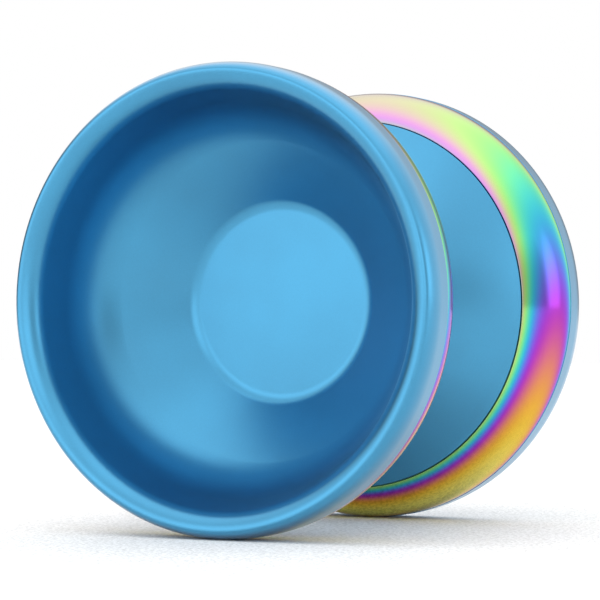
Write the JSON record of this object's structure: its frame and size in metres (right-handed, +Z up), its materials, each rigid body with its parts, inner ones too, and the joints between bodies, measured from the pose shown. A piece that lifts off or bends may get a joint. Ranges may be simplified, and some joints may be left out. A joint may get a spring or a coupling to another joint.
{
  "type": "yo-yo",
  "caption": "Wide two-metal throwing yo-yo: cupped anodised aluminium halves with rainbow steel rim rings, screwed together round a shielded ball bearing.",
  "frame": {"origin": "on the spin axis, in the middle of the string gap", "axes": "+Y along the spin axis towards half b, +Z up, resting on both rims"},
  "size_m": [0.0558, 0.048, 0.0558],
  "materials": {
    "blue_anodised_aluminium": "bead-blasted and anodised, satin",
    "rainbow_coated_steel": "polished, with a rainbow interference coating",
    "response_silicone": "soft matt silicone",
    "bearing_steel": "ground and polished",
    "cage_nylon": "moulded, natural"
  },
  "bodies": {
    "half_a": {"half_body_a": "blue_anodised_aluminium", "weight_ring_a": "rainbow_coated_steel", "response_pad_a": "response_silicone", "axle_set_screw": "bearing_steel", "bearing_inner_race": "bearing_steel"},
    "bearing_outer": {"bearing_outer_race": "bearing_steel", "bearing_shield_a": "bearing_steel", "bearing_shield_b": "bearing_steel", "bearing_snap_ring_a": "bearing_steel", "bearing_snap_ring_b": "bearing_steel"},
    "bearing_cage": {"bearing_cage": "cage_nylon"},
    "ball_1": {"bearing_ball_1": "bearing_steel"},
    "ball_2": {"bearing_ball_2": "bearing_steel"},
    "ball_3": {"bearing_ball_3": "bearing_steel"},
    "ball_4": {"bearing_ball_4": "bearing_steel"},
    "ball_5": {"bearing_ball_5": "bearing_steel"},
    "ball_6": {"bearing_ball_6": "bearing_steel"},
    "ball_7": {"bearing_ball_7": "bearing_steel"},
    "ball_8": {"bearing_ball_8": "bearing_steel"},
    "ball_9": {"bearing_ball_9": "bearing_steel"},
    "ball_10": {"bearing_ball_10": "bearing_steel"},
    "half_b_travel": {"response_pad_b": "response_silicone"},
    "half_b": {"half_body_b": "blue_anodised_aluminium", "weight_ring_b": "rainbow_coated_steel"}
  },
  "joints": [
    {"name": "bearing_spin", "type": "hinge", "parent": "half_a", "child": "bearing_outer", "pos_m": [0, 0, 0], "axis": [0, 1, 0], "continuous": true},
    {"name": "cage_orbit", "type": "hinge", "parent": "half_a", "child": "bearing_cage", "pos_m": [0, 0, 0], "axis": [0, 1, 0], "continuous": true},
    {"name": "ball_1_roll", "type": "hinge", "parent": "bearing_cage", "child": "ball_1", "pos_m": [0, 0, 0.00476], "axis": [0, 1, 0], "continuous": true},
    {"name": "ball_2_roll", "type": "hinge", "parent": "bearing_cage", "child": "ball_2", "pos_m": [0.0028, 0, 0.00385], "axis": [0, 1, 0], "continuous": true},
    {"name": "ball_3_roll", "type": "hinge", "parent": "bearing_cage", "child": "ball_3", "pos_m": [0.00453, 0, 0.00147], "axis": [0, 1, 0], "continuous": true},
    {"name": "ball_4_roll", "type": "hinge", "parent": "bearing_cage", "child": "ball_4", "pos_m": [0.00453, 0, -0.00147], "axis": [0, 1, 0], "continuous": true},
    {"name": "ball_5_roll", "type": "hinge", "parent": "bearing_cage", "child": "ball_5", "pos_m": [0.0028, 0, -0.00385], "axis": [0, 1, 0], "continuous": true},
    {"name": "ball_6_roll", "type": "hinge", "parent": "bearing_cage", "child": "ball_6", "pos_m": [0, 0, -0.00476], "axis": [0, 1, 0], "continuous": true},
    {"name": "ball_7_roll", "type": "hinge", "parent": "bearing_cage", "child": "ball_7", "pos_m": [-0.0028, 0, -0.00385], "axis": [0, 1, 0], "continuous": true},
    {"name": "ball_8_roll", "type": "hinge", "parent": "bearing_cage", "child": "ball_8", "pos_m": [-0.00453, 0, -0.00147], "axis": [0, 1, 0], "continuous": true},
    {"name": "ball_9_roll", "type": "hinge", "parent": "bearing_cage", "child": "ball_9", "pos_m": [-0.00453, 0, 0.00147], "axis": [0, 1, 0], "continuous": true},
    {"name": "ball_10_roll", "type": "hinge", "parent": "bearing_cage", "child": "ball_10", "pos_m": [-0.0028, 0, 0.00385], "axis": [0, 1, 0], "continuous": true},
    {"name": "half_b_slide", "type": "slide", "parent": "half_a", "child": "half_b_travel", "axis": [0, 1, 0], "range_m": [0, 0.0036]},
    {"name": "half_b_unscrew", "type": "hinge", "parent": "half_b_travel", "child": "half_b", "pos_m": [0, 0, 0], "axis": [0, 1, 0], "range_deg": [0, 1800]}
  ],
  "couplings": [
    {"joint": "cage_orbit", "follows": "bearing_spin", "ratio": 0.58333},
    {"joint": "ball_1_roll", "follows": "bearing_spin", "ratio": 2.9167},
    {"joint": "ball_2_roll", "follows": "bearing_spin", "ratio": 2.9167},
    {"joint": "ball_3_roll", "follows": "bearing_spin", "ratio": 2.9167},
    {"joint": "ball_4_roll", "follows": "bearing_spin", "ratio": 2.9167},
    {"joint": "ball_5_roll", "follows": "bearing_spin", "ratio": 2.9167},
    {"joint": "ball_6_roll", "follows": "bearing_spin", "ratio": 2.9167},
    {"joint": "ball_7_roll", "follows": "bearing_spin", "ratio": 2.9167},
    {"joint": "ball_8_roll", "follows": "bearing_spin", "ratio": 2.9167},
    {"joint": "ball_9_roll", "follows": "bearing_spin", "ratio": 2.9167},
    {"joint": "ball_10_roll", "follows": "bearing_spin", "ratio": 2.9167},
    {"joint": "half_b_slide", "follows": "half_b_unscrew", "m_per_rad": 0.00011141}
  ]
}
